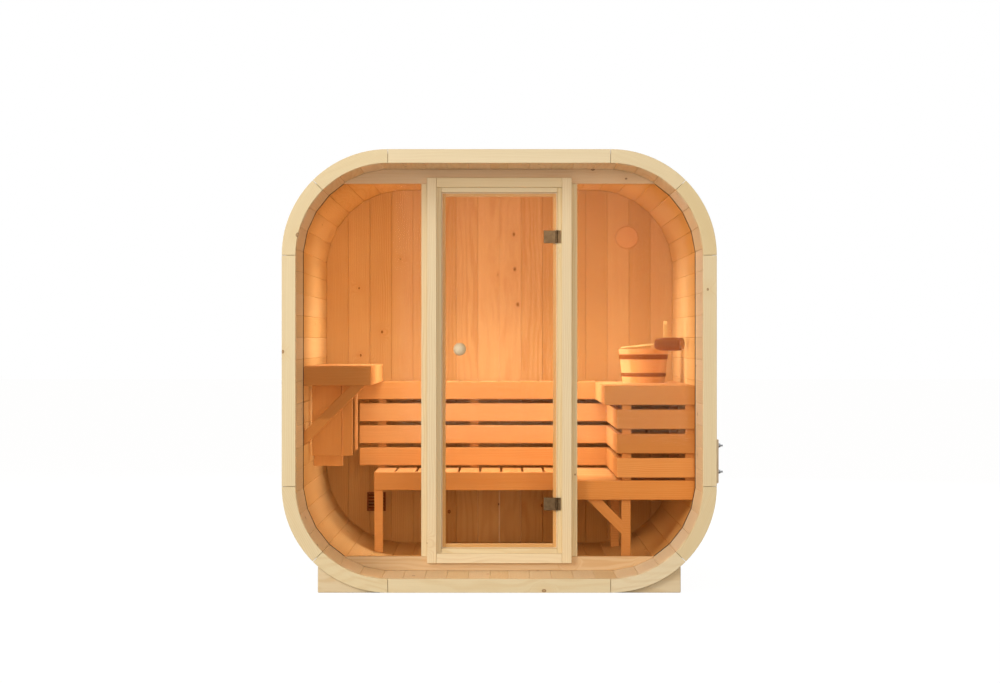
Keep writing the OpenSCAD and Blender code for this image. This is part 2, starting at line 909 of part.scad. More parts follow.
// Frame with sloping blades
module louvre_vent() {
    half = louvre_size / 2;
    rim = 9;
    depth = 16;
    blades = 5;
    blade_t = 2;
    blade_lap = 1;
    clear_w = louvre_size - 2 * rim;
    pitch = clear_w / blades;
    color(dark_wood)
        translate([-inner_half + louvre_in, wall_y0 - fit, inner_low + louvre_up]) {
            difference() {
                block([-half, -depth, -half], [half, 0, half]);
                block([rim - half, -depth - past, rim - half], [half - rim, past, half - rim]);
            }
            for (i = [0:blades - 1])
                translate([rim - half - blade_lap, -depth / 2, rim - half + (i + 0.5) * pitch])
                    rotate([45, 0, 0])
                        translate([0, -depth / 2, -blade_t / 2])
                            cube([clear_w + 2 * blade_lap, depth, blade_t]);
        }
}

// Outer radius of the bucket at a height above its base
function bucket_r(z) = base_d / 2 + (rim_d - base_d) / 2 * z / bucket_h;

// Coopered tub with one long stave as its handle
module bucket() {
    bottom_t = 18;
    color(bench_wood)
        translate([bucket_x, bucket_y, upper_z + fit]) {
            rotate_extrude()
                polygon([
                    [0, 0],
                    [base_d / 2, 0],
                    [rim_d / 2, bucket_h],
                    [rim_d / 2 - bucket_t, bucket_h],
                    [bucket_r(bottom_t) - bucket_t, bottom_t],
                    [0, bottom_t]
                ]);
            block([rim_d / 2 - handle_t, -handle_w / 2, bucket_h - bucket_t],
                  [rim_d / 2 - bucket_t / 2, handle_w / 2, bucket_h + handle_h]);
        }
}

module bucket_hoops() {
    color(dark_wood)
        translate([bucket_x, bucket_y, upper_z + fit])
            for (zs = hoop_zs)
                rotate_extrude()
                    polygon([
                        [bucket_r(zs[0]) + fit, zs[0]],
                        [bucket_r(zs[0]) + fit + hoop_t, zs[0]],
                        [bucket_r(zs[1]) + fit + hoop_t, zs[1]],
                        [bucket_r(zs[1]) + fit, zs[1]]
                    ]);
}

// Round rod between two points
module rod(from, to, d) {
    v = to - from;
    translate(from)
        rotate([0, acos(v[2] / norm(v)), atan2(v[1], v[0])])
            cylinder(d = d, h = norm(v));
}

// Cup on its side at the end of a rod that lies on the bucket's rim
module ladle() {
    cup_wall = 7;
    rod_seat = [3, -3, 0];
    color(dark_wood) {
        translate(cup_tail)
            rotate([0, 90, cup_turn])
                difference() {
                    cylinder(d = cup_d, h = cup_len);
                    translate([0, 0, 2 * cup_wall])
                        cylinder(d = cup_d - 2 * cup_wall, h = cup_len);
                }
        rod(grip_end, cup_tail + rod_seat, ladle_d);
    }
}

straight_staves(2);  // floor_staves
straight_staves(0);  // ceiling_staves
straight_staves(1);  // left_wall_staves
straight_staves(3);  // right_wall_staves
corner(2);  // lower_left_corner
corner(3);  // lower_right_corner
corner(1);  // upper_left_corner
corner(0);  // upper_right_corner
back_wall();
trim_boards(front_y);  // front_trim_boards
trim_corners(front_y);  // front_trim_corners
trim_boards(stave_y1);  // back_trim_boards
trim_corners(stave_y1);  // back_trim_corners
cradles();
steel_bands();
band_tensioners();
tensioner_bolts();
wall_rails();
side_panes();
door_posts();
door_head_and_sill();
door_casing();
door_stops();
post_hinges();
glass_door();
door_hinges();
door_knobs();
back_bench_top();
back_bench_front();
back_bench_frame();
side_bench_top();
side_bench_front();
side_bench_side();
side_bench_frame();
lower_back_top();
lower_back_front();
lower_back_frame();
lower_side_top();
lower_side_front();
lower_side_frame();
shelf_top();
shelf_front();
shelf_frame();
guard_boards();
vent_disc();
louvre_vent();
bucket();
bucket_hoops();
ladle();
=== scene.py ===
"""Rounded-square stave sauna cabin: boards, glass, hardware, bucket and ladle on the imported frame.

Lengths are in metres. The angles given to soften, make and lamp are in degrees, and the camera's
sensor and lens are in millimetres.
"""

import math
import random

import bmesh
import bpy
from mathutils import Matrix, Vector

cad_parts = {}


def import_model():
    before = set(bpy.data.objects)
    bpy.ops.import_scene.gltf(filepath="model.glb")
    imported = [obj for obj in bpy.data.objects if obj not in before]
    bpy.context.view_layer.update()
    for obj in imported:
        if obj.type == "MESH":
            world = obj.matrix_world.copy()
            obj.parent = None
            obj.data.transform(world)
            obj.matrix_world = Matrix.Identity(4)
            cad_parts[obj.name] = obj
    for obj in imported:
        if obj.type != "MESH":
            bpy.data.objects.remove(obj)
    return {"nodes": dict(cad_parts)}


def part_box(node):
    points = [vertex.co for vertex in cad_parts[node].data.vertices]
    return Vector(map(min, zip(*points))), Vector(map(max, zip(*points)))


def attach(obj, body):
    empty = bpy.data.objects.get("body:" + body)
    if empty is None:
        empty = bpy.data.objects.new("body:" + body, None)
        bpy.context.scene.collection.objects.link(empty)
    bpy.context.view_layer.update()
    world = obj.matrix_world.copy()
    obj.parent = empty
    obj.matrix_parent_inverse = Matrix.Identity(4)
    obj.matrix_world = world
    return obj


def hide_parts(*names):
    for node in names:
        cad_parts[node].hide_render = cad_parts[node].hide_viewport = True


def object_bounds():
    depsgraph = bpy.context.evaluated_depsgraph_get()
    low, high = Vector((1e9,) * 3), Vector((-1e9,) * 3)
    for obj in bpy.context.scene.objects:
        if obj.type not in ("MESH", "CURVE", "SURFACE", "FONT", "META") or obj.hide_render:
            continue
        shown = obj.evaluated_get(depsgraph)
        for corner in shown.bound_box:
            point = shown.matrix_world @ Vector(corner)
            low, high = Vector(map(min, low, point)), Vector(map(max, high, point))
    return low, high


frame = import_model()
cad_low, cad_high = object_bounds()
draw = random.Random(11)

MM = 0.001
X, Y, Z = Vector((1, 0, 0)), Vector((0, 1, 0)), Vector((0, 0, 1))

# Staves and wall boards
JOINT = 0.5 * MM
GROOVE = 2.6 * MM
STAVES_A_SIDE = 11
MIDDLE_STAVE = 85 * MM
WALL_BOARDS = 16

# Knots: cells a metre along and across the grain, and the radii of a knot as a share of its cell
KNOT_CELLS = (5.5, 7.5, 0.0)
KNOT_RADII = (0.022, 0.065)
# A Wave texture of scale 1 repeats after this length
WAVE_PERIOD = 0.314


# ---------------------------------------------------------------- meshes

def cad_copy(node):
    """The CAD node's mesh with its triangles joined back into whole faces."""
    bm = bmesh.new()
    source = frame["nodes"][node]
    bm.from_mesh(source.data)
    bm.transform(source.matrix_world)
    bmesh.ops.remove_doubles(bm, verts=bm.verts, dist=0.001 * MM)
    bmesh.ops.dissolve_limit(bm, angle_limit=0.01, verts=bm.verts, edges=bm.edges)
    return bm


def soften(bm, width, segments=2, angle=35):
    """Rounds every edge that is sharper than the angle."""
    limit = math.radians(angle)
    sharp = [e for e in bm.edges if len(e.link_faces) == 2 and e.calc_face_angle(0) > limit]
    bmesh.ops.bevel(bm, geom=sharp, offset=width, segments=segments, profile=0.5,
                    affect="EDGES", clamp_overlap=True)
    return bm


def join(parts):
    """One bmesh out of several."""
    whole = bmesh.new()
    for part in parts:
        mesh = bpy.data.meshes.new("part")
        part.to_mesh(mesh)
        whole.from_mesh(mesh)
        bpy.data.meshes.remove(mesh)
        part.free()
    return whole


def boards_of(bm, axis, cuts):
    """The slab cut into boards at these places along the axis, with an open joint between two."""
    boards = []
    for low, high in zip(cuts, cuts[1:]):
        board = bm.copy()
        for place, outward in ((low + JOINT / 2, -1), (high - JOINT / 2, 1)):
            everything = board.verts[:] + board.edges[:] + board.faces[:]
            bmesh.ops.bisect_plane(board, geom=everything, plane_co=axis * place,
                                   plane_no=axis * outward, clear_outer=True)
            rim = [e for e in board.edges if e.is_boundary]
            if rim:
                bmesh.ops.holes_fill(board, edges=rim)
        boards.append(board)
    bm.free()
    return join(boards)


def even_cuts(low, high, count, middle=None):
    """Places of the joints between count boards, with a middle board of its own width if given."""
    if middle is None:
        return [low + (high - low) * i / count for i in range(count + 1)]
    side = (high - low - middle) / (count - 1)
    half = (count - 1) // 2
    left = [low + side * i for i in range(half + 1)]
    return left + [low + high - place for place in reversed(left)]


def islands(bm):
    """Lists of faces that hang together."""
    seen = set()
    for start in bm.faces:
        if start in seen:
            continue
        seen.add(start)
        group, todo = [], [start]
        while todo:
            face = todo.pop()
            group.append(face)
            for edge in face.edges:
                for other in edge.link_faces:
                    if other not in seen:
                        seen.add(other)
                        todo.append(other)
        yield group


def square_axes(along):
    """Three square axes, the first one along the grain."""
    helper = Z if abs(along.z) < 0.8 else X
    across = helper.cross(along).normalized()
    return along, across, along.cross(across)


def board_axes(faces):
    """The grain, width and thickness directions of a board, from its longest edge and largest face."""
    along, longest = X, 0
    for face in faces:
        for edge in face.edges:
            length = edge.calc_length()
            if length > longest + 1e-5:
                longest = length
                along = (edge.verts[1].co - edge.verts[0].co) / length
    if sum(along) < 0:
        along = -along
    flat = max(faces, key=lambda face: face.calc_area()).normal
    depth = (flat - along * flat.dot(along)).normalized()
    return along, depth.cross(along), depth


def chord_axes(faces):
    """The grain of a curved board runs straight between its two ends."""
    points = [v.co for face in faces for v in face.verts]
    centre = sum(points, Vector()) / len(points)
    far = max(points, key=lambda p: (p - centre).length)
    end = max(points, key=lambda p: (p - far).length)
    along = (end - far).normalized()
    depth = (Y - along * along.y).normalized()
    return along, depth.cross(along), depth


def face_axes(face):
    """The grain of one face of a joined frame runs along its longest edge."""
    edge = max(face.edges, key=lambda e: e.calc_length())
    along = (edge.verts[1].co - edge.verts[0].co).normalized()
    return square_axes(-along if sum(along) < 0 else along)


def random_offset():
    """Where a board was sawn from its log: along it, beside its heart and above its heart."""
    log_length, beside = 60, 50 * MM
    return Vector((draw.uniform(0, log_length), draw.uniform(-beside, beside),
                   draw.uniform(20 * MM, 130 * MM)))


def add_grain(bm, style, centre=None):
    """Writes each corner's place along and across the grain, and each board's own tone."""
    grain = bm.loops.layers.float_vector.new("grain")
    tone = bm.loops.layers.float.new("tone")
    for faces in islands(bm):
        offset = random_offset()
        shade = draw.random()
        if style == "board":
            axes = board_axes(faces)
        elif style == "chord":
            axes = chord_axes(faces)
        else:
            axes = (X, Y, Z)
        for face in faces:
            if style == "frame":
                axes = face_axes(face)
            for loop in face.loops:
                place = loop.vert.co
                if style == "hoop":
                    turn = place - centre
                    radius = math.hypot(turn.x, turn.y)
                    round_it = math.atan2(turn.y, turn.x) * radius
                    loop[grain] = Vector((round_it, turn.z, radius)) + offset
                else:
                    loop[grain] = Vector([place.dot(axis) for axis in axes]) + offset
                loop[tone] = shade


def make(name, bm, material, body="cabin", style="board", smooth=15, centre=None):
    """A finished piece from the bmesh, which is used up.

    style says how the grain runs: along each board, along the chord of a bent one, along each face
    of a joined frame, round a hoop about its centre, or plainly along X.
    """
    bmesh.ops.recalc_face_normals(bm, faces=bm.faces)
    add_grain(bm, style, centre)
    mesh = bpy.data.meshes.new(name)
    bm.to_mesh(mesh)
    bm.free()
    mesh.shade_smooth()
    mesh.set_sharp_from_angle(angle=math.radians(smooth))
    mesh.materials.append(material)
    piece = bpy.data.objects.new(name, mesh)
    bpy.context.collection.objects.link(piece)
    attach(piece, body)
    return piece


def timber(node, width, material, style="board", smooth=15):
    """The CAD node again, with rounded edges and a grain that follows each board."""
    bm = soften(cad_copy(node), width)
    piece = make(node + "_wood", bm, material, style=style, smooth=smooth)
    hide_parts(node)


def turned(profile, steps=48):
    """A body turned round Z from (radius, height) points, closed at both ends on the axis."""
    bm = bmesh.new()
    rings = []
    for radius, height in profile:
        if radius < 1e-6:
            rings.append([bm.verts.new((0, 0, height))])
        else:
            rings.append([bm.verts.new((radius * math.cos(math.tau * i / steps),
                                        radius * math.sin(math.tau * i / steps), height))
                          for i in range(steps)])
    for low, high in zip(rings, rings[1:]):
        for i in range(steps):
            j = (i + 1) % steps
            corners = []
            for ring, order in ((low, (i, j)), (high, (j, i))):
                corners += [ring[k] for k in order] if len(ring) > 1 else [ring[0]]
            bm.faces.new(corners)
    return bm


# ------------------------------------------------------------- materials

def linear(code):
    """An opaque linear colour from a web colour such as E6D2AC."""
    parts = [int(code[i:i + 2], 16) / 255 for i in (0, 2, 4)]
    return [p / 12.92 if p <= 0.04045 else ((p + 0.055) / 1.055) ** 2.4 for p in parts] + [1.0]


class Shader:
    """A material's node tree, built one node at a time."""

    def __init__(self, name):
        self.material = bpy.data.materials.new(name)
        self.material.use_nodes = True
        self.tree = self.material.node_tree
        self.tree.nodes.clear()

    def node(self, kind, inputs=None, **settings):
        node = self.tree.nodes.new("ShaderNode" + kind)
        for key, value in settings.items():
            setattr(node, key, value)
        for key, value in (inputs or {}).items():
            if isinstance(value, bpy.types.NodeSocket):
                self.tree.links.new(value, node.inputs[key])
            else:
                node.inputs[key].default_value = value
        return node

    def math(self, operation, a, b=0.0, c=0.0, clamp=False):
        node = self.node("Math", {0: a, 1: b, 2: c}, operation=operation, use_clamp=clamp)
        return node.outputs[0]

    def vector(self, operation, a, b):
        return self.node("VectorMath", {0: a, 1: b}, operation=operation).outputs[0]

    def noise(self, vector, stretch, detail=2.0, rough=0.5):
        """Noise with this many waves a metre along each axis of the vector."""
        placed = self.vector("MULTIPLY", vector, stretch)
        return self.node("TexNoise", {"Vector": placed, "Scale": 1.0, "Detail": detail,
                                      "Roughness": rough})

    def remap(self, value, low, high, to_low=0.0, to_high=1.0, smooth=False):
        kind = "SMOOTHSTEP" if smooth else "LINEAR"
        return self.node("MapRange", {"Value": value, "From Min": low, "From Max": high,
                                      "To Min": to_low, "To Max": to_high},
                         interpolation_type=kind).outputs[0]

    def mix(self, fac, a, b):
        """A Mix node's colour inputs are its 6 and 7, and its colour output is its 2."""
        return self.node("Mix", {"Factor": fac, 6: a, 7: b}, data_type="RGBA").outputs[2]

    def bump(self, height, strength, distance):
        return self.node("Bump", {"Height": height, "Strength": strength,
                                  "Distance": distance}).outputs[0]

    def finish(self, shader):
        out = self.node("OutputMaterial")
        self.tree.links.new(shader, out.inputs["Surface"])
        return self.material


def wood(name, pale, dark, knot, knots=0.1, spread=0.5, ring=6 * MM, shades=0.12):
    """Sawn softwood: growth rings cut by the board, fine fibres, knots and a tone for each board.

    knots is the share of cells with a knot, spread how strongly the rings show, ring the width of
    one year's growth, and shades how far the boards differ from each other.
    """
    s = Shader(name)
    grain = s.node("Attribute", attribute_name="grain").outputs["Vector"]
    tone = s.node("Attribute", attribute_name="tone").outputs["Fac"]

    # Knots: in some of the cells, a ragged dark ring with a paler heart and a wide halo
    cells = s.vector("MULTIPLY", grain, KNOT_CELLS)
    nearest = s.node("TexVoronoi", {"Vector": cells, "Scale": 1.0}, voronoi_dimensions="2D")
    away = nearest.outputs["Distance"]
    picks = s.node("SeparateColor", {0: nearest.outputs["Color"]})
    is_knot = s.math("GREATER_THAN", picks.outputs[0], 1 - knots)
    radius = s.remap(picks.outputs[1], 0.0, 1.0, *KNOT_RADII)
    ragged = s.noise(grain, (90, 140, 140), 2.0).outputs["Fac"]
    edge = s.math("MULTIPLY_ADD", ragged, 0.02, away)
    inner = s.math("MULTIPLY", radius, 0.55)
    outer = s.math("ADD", radius, 0.012)
    knot_mask = s.math("MULTIPLY", s.remap(edge, outer, radius, smooth=True), is_knot)
    knot_heart = s.math("MULTIPLY", s.remap(edge, radius, inner, smooth=True), is_knot)
    halo = s.math("MULTIPLY", s.remap(away, 0.4, 0.0, smooth=True), is_knot)

    # Growth rings, which wander along the board and bend round its knots, and fine fibres
    wander = s.noise(grain, (1.7, 8.0, 8.0), 2.0).outputs["Color"]
    middled = s.vector("SUBTRACT", wander, (0.5, 0.5, 0.5))
    drift = s.vector("MULTIPLY", middled, (0.0, 0.03, 0.03))
    bent = s.node("CombineXYZ", {"Z": s.math("MULTIPLY", halo, 0.035)}).outputs[0]
    place = s.vector("ADD", s.vector("ADD", grain, drift), bent)
    rings = s.node("TexWave", {"Vector": place, "Scale": WAVE_PERIOD / ring, "Distortion": 0.35,
                               "Detail": 2.0, "Detail Scale": 0.6},
                   wave_type="RINGS", rings_direction="X").outputs["Fac"]
    fibre = s.noise(grain, (9, 620, 620), 3.0, 0.6).outputs["Fac"]
    streak = s.noise(grain, (1.3, 70, 70), 3.0, 0.6).outputs["Fac"]
    cloud = s.noise(grain, (1.6, 11, 11), 2.0).outputs["Fac"]

    # Colour: pale early wood, dark late wood, streaks, each board's tone, then the knots
    late = s.remap(rings, 0.35, 1.0, smooth=True)
    strength = s.remap(cloud, 0.3, 0.75, 0.25 * spread, spread)
    band = s.math("MULTIPLY", late, strength)
    hue = s.math("MULTIPLY_ADD", s.remap(streak, 0.3, 0.75), 0.45 * spread, band, clamp=True)
    colour = s.mix(hue, linear(pale), linear(dark))
    fine = s.remap(fibre, 0.25, 0.75, 0.97 - shades, 1.03 - shades)
    level = s.math("MULTIPLY_ADD", tone, shades, fine)
    warm = s.math("MULTIPLY_ADD", tone, -0.2, 1.1)
    toned = s.node("HueSaturation", {"Color": colour, "Value": level, "Saturation": warm})
    colour = toned.outputs[0]
    colour = s.mix(s.math("MULTIPLY", halo, 0.25), colour, linear(dark))
    colour = s.mix(knot_mask, colour, linear(knot))
    colour = s.mix(s.math("MULTIPLY", knot_heart, 0.55), colour, linear(dark))

    # Relief and gloss
    height = s.math("MULTIPLY_ADD", fibre, 0.7, s.math("MULTIPLY", late, 0.5))
    height = s.math("SUBTRACT", height, s.math("MULTIPLY", knot_mask, 0.8))
    gloss = s.remap(fibre, 0.2, 0.8, 0.46, 0.62)
    skin = s.node("BsdfPrincipled", {"Base Color": colour, "Roughness": gloss,
                                     "Specular IOR Level": 0.35,
                                     "Normal": s.bump(height, 0.35, 0.6 * MM)})
    return s.finish(skin.outputs[0])


def metal(name, pale, dark, brushing=(30, 30, 900)):
    """Brushed metal with cloudy tarnish and fine lines."""
    s = Shader(name)
    place = s.node("TexCoord").outputs["Object"]
    lines = s.noise(place, brushing, 3.0, 0.6).outputs["Fac"]
    cloud = s.noise(place, (45, 45, 45), 4.0, 0.6).outputs["Fac"]
    colour = s.mix(s.remap(cloud, 0.3, 0.7), linear(pale), linear(dark))
    skin = s.node("BsdfPrincipled", {"Base Color": colour, "Metallic": 1.0,
                                     "Roughness": s.remap(lines, 0.25, 0.75, 0.28, 0.45),
                                     "Normal": s.bump(lines, 0.12, 0.2 * MM)})
    return s.finish(skin.outputs[0])


def bronze_glass():
    """Bronze glass with a faint roller wave. Light goes straight through and takes its tint."""
    s = Shader("bronze_glass")
    place = s.node("TexCoord").outputs["Object"]
    wave = s.noise(place, (5, 5, 1.6), 2.0).outputs["Fac"]
    haze = s.noise(place, (14, 14, 9), 4.0, 0.65).outputs["Fac"]
    ripple = s.bump(wave, 0.05, 0.8 * MM)
    tint = s.mix(s.remap(haze, 0.3, 0.7), (0.94, 0.835, 0.68, 1.0), (0.94, 0.82, 0.66, 1.0))
    through = s.node("BsdfTransparent", {"Color": tint})
    shine = s.node("BsdfGlossy", {"Roughness": s.remap(haze, 0.3, 0.8, 0.02, 0.09),
                                  "Normal": ripple})
    fresnel = s.node("Fresnel", {"IOR": 1.1, "Normal": ripple}).outputs[0]
    skin = s.node("MixShader", {0: fresnel, 1: through.outputs[0], 2: shine.outputs[0]})
    return s.finish(skin.outputs[0])


def shade_strip(name, pale, dark):
    """Matt dark strip: painted shade along the edges of the panes."""
    s = Shader(name)
    place = s.node("TexCoord").outputs["Object"]
    cloud = s.noise(place, (60, 60, 60), 3.0).outputs["Fac"]
    fine = s.noise(place, (900, 900, 900), 2.0).outputs["Fac"]
    skin = s.node("BsdfPrincipled", {"Base Color": s.mix(cloud, linear(pale), linear(dark)),
                                     "Roughness": s.remap(fine, 0.3, 0.7, 0.55, 0.8),
                                     "Normal": s.bump(fine, 0.2, 0.3 * MM)})
    return s.finish(skin.outputs[0])


trim_wood = wood("trim_spruce", "EDD9AE", "DDBD86", "8A5A30", knots=0.07, spread=0.5, shades=0.08)
stave_wood = wood("stave_spruce", "F2DAB2", "E4C294", "6F3F1C", knots=0.13, spread=0.5, shades=0.07)
wall_wood = wood("wall_spruce", "ECCBA0", "D9AB77", "6B3514", knots=0.16, spread=0.55, shades=0.15)
seat_wood = wood("bench_alder", "F0C59A", "DDA470", "7B4522", knots=0.06, spread=0.55)
base_wood = wood("cradle_spruce", "F2DEBA", "E2C292", "84552C", knots=0.08, spread=0.6)
# The door stops get a paler copy of the wood: painted light that makes them look strongly lit behind
# the glass
painted_lit_stop_wood = wood("stop_wood_painted_light", "FCF0DC", "F4E0C2", "8A5A30", knots=0.0, spread=0.4)
dark_wood = wood("smoked_wood", "A5683C", "6E3D1E", "3A1D0D", knots=0.0, spread=0.9, ring=5 * MM)
knob_wood = wood("knob_birch", "E8D4AE", "D8BA8A", "A87C4C", knots=0.0, spread=0.4, ring=4 * MM)
bronze = metal("satin_bronze", "5E4A33", "43311F")
steel = metal("band_steel", "C4C6C8", "8F9194", brushing=(60, 60, 60))
glass = bronze_glass()
# A dark strip material: painted shade along the side panes' edges
pane_edge_shade = shade_strip("pane_edge_painted_shade", "4A2F1C", "2A1A10")

# ----------------------------------------------------------------- shell

def boarding(node, name, material, axis=None, count=1, middle=None):
    """Tongue-and-groove boards with a V along every joint, cut across the axis if it is given."""
    bm = cad_copy(node)
    if axis is not None:
        low, high = (Vector(corner).dot(axis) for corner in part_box(node))
        bm = boards_of(bm, axis, even_cuts(low, high, count, middle))
    piece = make(name, soften(bm, GROOVE, 1), material)
    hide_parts(node)


for side in ("floor", "ceiling"):
    boarding(side + "_staves", side + "_stave_boards", stave_wood, X, STAVES_A_SIDE, MIDDLE_STAVE)
for side in ("left_wall", "right_wall"):
    boarding(side + "_staves", side + "_stave_boards", stave_wood, Z, STAVES_A_SIDE)
for level in ("lower", "upper"):
    for side in ("left", "right"):
        corner_node = level + "_" + side + "_corner"
        boarding(corner_node, corner_node + "_boards", stave_wood)
boarding("back_wall", "back_wall_boards", wall_wood, X, WALL_BOARDS)

for ring_side in ("front", "back"):
    timber(ring_side + "_trim_boards", 1.5 * MM, trim_wood)
    timber(ring_side + "_trim_corners", 1.5 * MM, trim_wood, "chord")

timber("cradles", 4 * MM, base_wood)
timber("band_tensioners", 4 * MM, base_wood)

# ---------------------------------------------------- front wall and door

timber("wall_rails", 2 * MM, wall_wood)
for part in ("door_posts", "door_head_and_sill", "door_casing"):
    timber(part, 2.5 * MM, trim_wood)
# The stops' paler wood is painted light
timber("door_stops", 2 * MM, painted_lit_stop_wood)

knobs = make("door_knobs_turned", cad_copy("door_knobs"), knob_wood, "door", smooth=50)
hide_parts("door_knobs")


def hardware(node, width, material, body="cabin"):
    """A metal CAD node again, with its edges broken."""
    bm = soften(cad_copy(node), width, 1)
    piece = make(node + "_metal", bm, material, body, "frame", smooth=30)
    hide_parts(node)


hardware("post_hinges", 0.6 * MM, bronze)
hardware("door_hinges", 0.6 * MM, bronze, "door")
hardware("tensioner_bolts", 0.5 * MM, steel)
hardware("steel_bands", 0.3 * MM, steel)

for pane in ("side_panes", "glass_door"):
    frame["nodes"][pane].data.materials.clear()
    frame["nodes"][pane].data.materials.append(glass)


def pane_edge_shade_strips():
    """A slim dark strip where each side pane meets the shell, on both of its faces: painted shade for
    the shadow line along the pane's edge.
    """
    strip, proud = 2.2 * MM, 1.2 * MM
    bm = cad_copy("side_panes")
    faces = sorted(bm.faces, key=lambda f: f.calc_area())[-4:]
    bmesh.ops.delete(bm, geom=[f for f in bm.faces if f not in faces], context="FACES")
    low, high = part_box("side_panes")
    post = min(abs(v.co.x) for v in bm.verts)
    skin = bm.faces[:]
    bmesh.ops.inset_individual(bm, faces=skin, thickness=strip, use_even_offset=True)

    def in_a_groove(face):
        place = face.calc_center_median()
        return abs(place.x) < post + strip or min(place.z - low[2], high[2] - place.z) < strip

    hidden = [f for f in bm.faces if f not in skin and in_a_groove(f)]
    bmesh.ops.delete(bm, geom=skin + hidden, context="FACES")
    bmesh.ops.solidify(bm, geom=bm.faces[:], thickness=-proud)
    make("pane_edge_shade_strips", bm, pane_edge_shade, style="frame")


pane_edge_shade_strips()

# --------------------------------------------------------------- benches

for bench in ("back_bench", "side_bench", "lower_back", "lower_side", "shelf"):
    for part in ("top", "front"):
        timber(bench + "_" + part, 3.5 * MM, seat_wood)
    timber(bench + "_frame", 2.5 * MM, seat_wood, "frame")
timber("side_bench_side", 3.5 * MM, seat_wood)
timber("guard_boards", 3 * MM, seat_wood)

# ----------------------------------------------------- vents, bucket, ladle

timber("vent_disc", 1.5 * MM, seat_wood, smooth=30)
timber("louvre_vent", 0.8 * MM, dark_wood, "frame")


def sector(r0, r1, a0, a1, z):
    """The points of one stave's cross-section at height z, round from the inside to the outside."""
    steps = 4
    inner = [(r0, a0 + (a1 - a0) * i / steps) for i in range(steps + 1)]
    outer = [(r1, a1 - (a1 - a0) * i / steps) for i in range(steps + 1)]
    return [Vector((r * math.cos(a), r * math.sin(a), z)) for r, a in inner + outer]


def loft(sections):
    """A closed solid through matching cross-sections."""
    bm = bmesh.new()
    rings = [[bm.verts.new(p) for p in section] for section in sections]
    for low, high in zip(rings, rings[1:]):
        for i in range(len(low)):
            j = (i + 1) % len(low)
            bm.faces.new([low[i], low[j], high[j], high[i]])
    bm.faces.new(rings[0])
    bm.faces.new(rings[-1])
    return bm


def bucket():
    """A coopered tub: tapered staves, a sunk floor and one long stave as its handle."""
    low, high = (Vector(c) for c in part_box("bucket"))
    hoop_low, hoop_high = (Vector(c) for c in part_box("bucket_hoops"))
    centre = Vector(((low.x + high.x) / 2, (low.y + high.y) / 2, low.z))
    over_hoop, hoop_proud = 28 * MM, 2.2 * MM
    rim_r = (high.x - low.x) / 2
    hoop_r = (hoop_high.x - hoop_low.x) / 2
    rim_z = hoop_high.z + over_hoop - low.z
    base_r = rim_r - (rim_r - hoop_r + hoop_proud) * rim_z / over_hoop
    thick = 16 * MM
    count = 18
    half_gap = 0.0016

    def radius(z):
        return base_r + (rim_r - base_r) * z / rim_z

    staves = []
    for i in range(count):
        a0 = math.tau * (i - 0.5) / count + half_gap
        a1 = math.tau * (i + 0.5) / count - half_gap
        sections = [sector(radius(z) - thick, radius(z), a0, a1, z)
                    for z in (0, 0.35 * rim_z, 0.7 * rim_z, rim_z)]
        staves.append(soften(loft(sections), 1.5 * MM, 2, 50))
    bm = join(staves)
    bm.transform(Matrix.Translation(centre))
    tub = make("bucket_staves", bm, seat_wood, smooth=25)

    under, over = 6 * MM, 18 * MM
    disc_r = radius(over) - thick - 0.3 * MM
    disc = turned([(0, under), (disc_r, under), (disc_r, over), (0, over)])
    disc.transform(Matrix.Translation(centre))
    make("bucket_floor", disc, seat_wood, style="plain", smooth=30)

    half = 25 * MM
    top = high.z - low.z
    foot, waist = rim_z - 16 * MM, rim_z + 0.45 * (top - rim_z)
    outline = [(-0.95 * half, foot), (0.95 * half, foot), (0.8 * half, waist), (half, top - half)]
    outline += [(half * math.cos(a), top - half + half * math.sin(a))
                for a in (math.pi * k / 12 for k in range(1, 12))]
    outline += [(-half, top - half), (-0.8 * half, waist)]
    handle = loft([[Vector((x, y, z)) for y, z in outline]
                   for x in (rim_r - 24 * MM, rim_r - 8 * MM)])
    handle.transform(Matrix.Translation(centre))
    make("bucket_handle", soften(handle, 3 * MM, 3, 50), knob_wood, smooth=30)
    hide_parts("bucket")

    hoop_bm = soften(cad_copy("bucket_hoops"), 0.8 * MM, 2, 50)
    hoops = make("bucket_hoops_wood", hoop_bm, dark_wood, style="hoop", smooth=30,
                 centre=centre)
    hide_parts("bucket_hoops")


bucket()


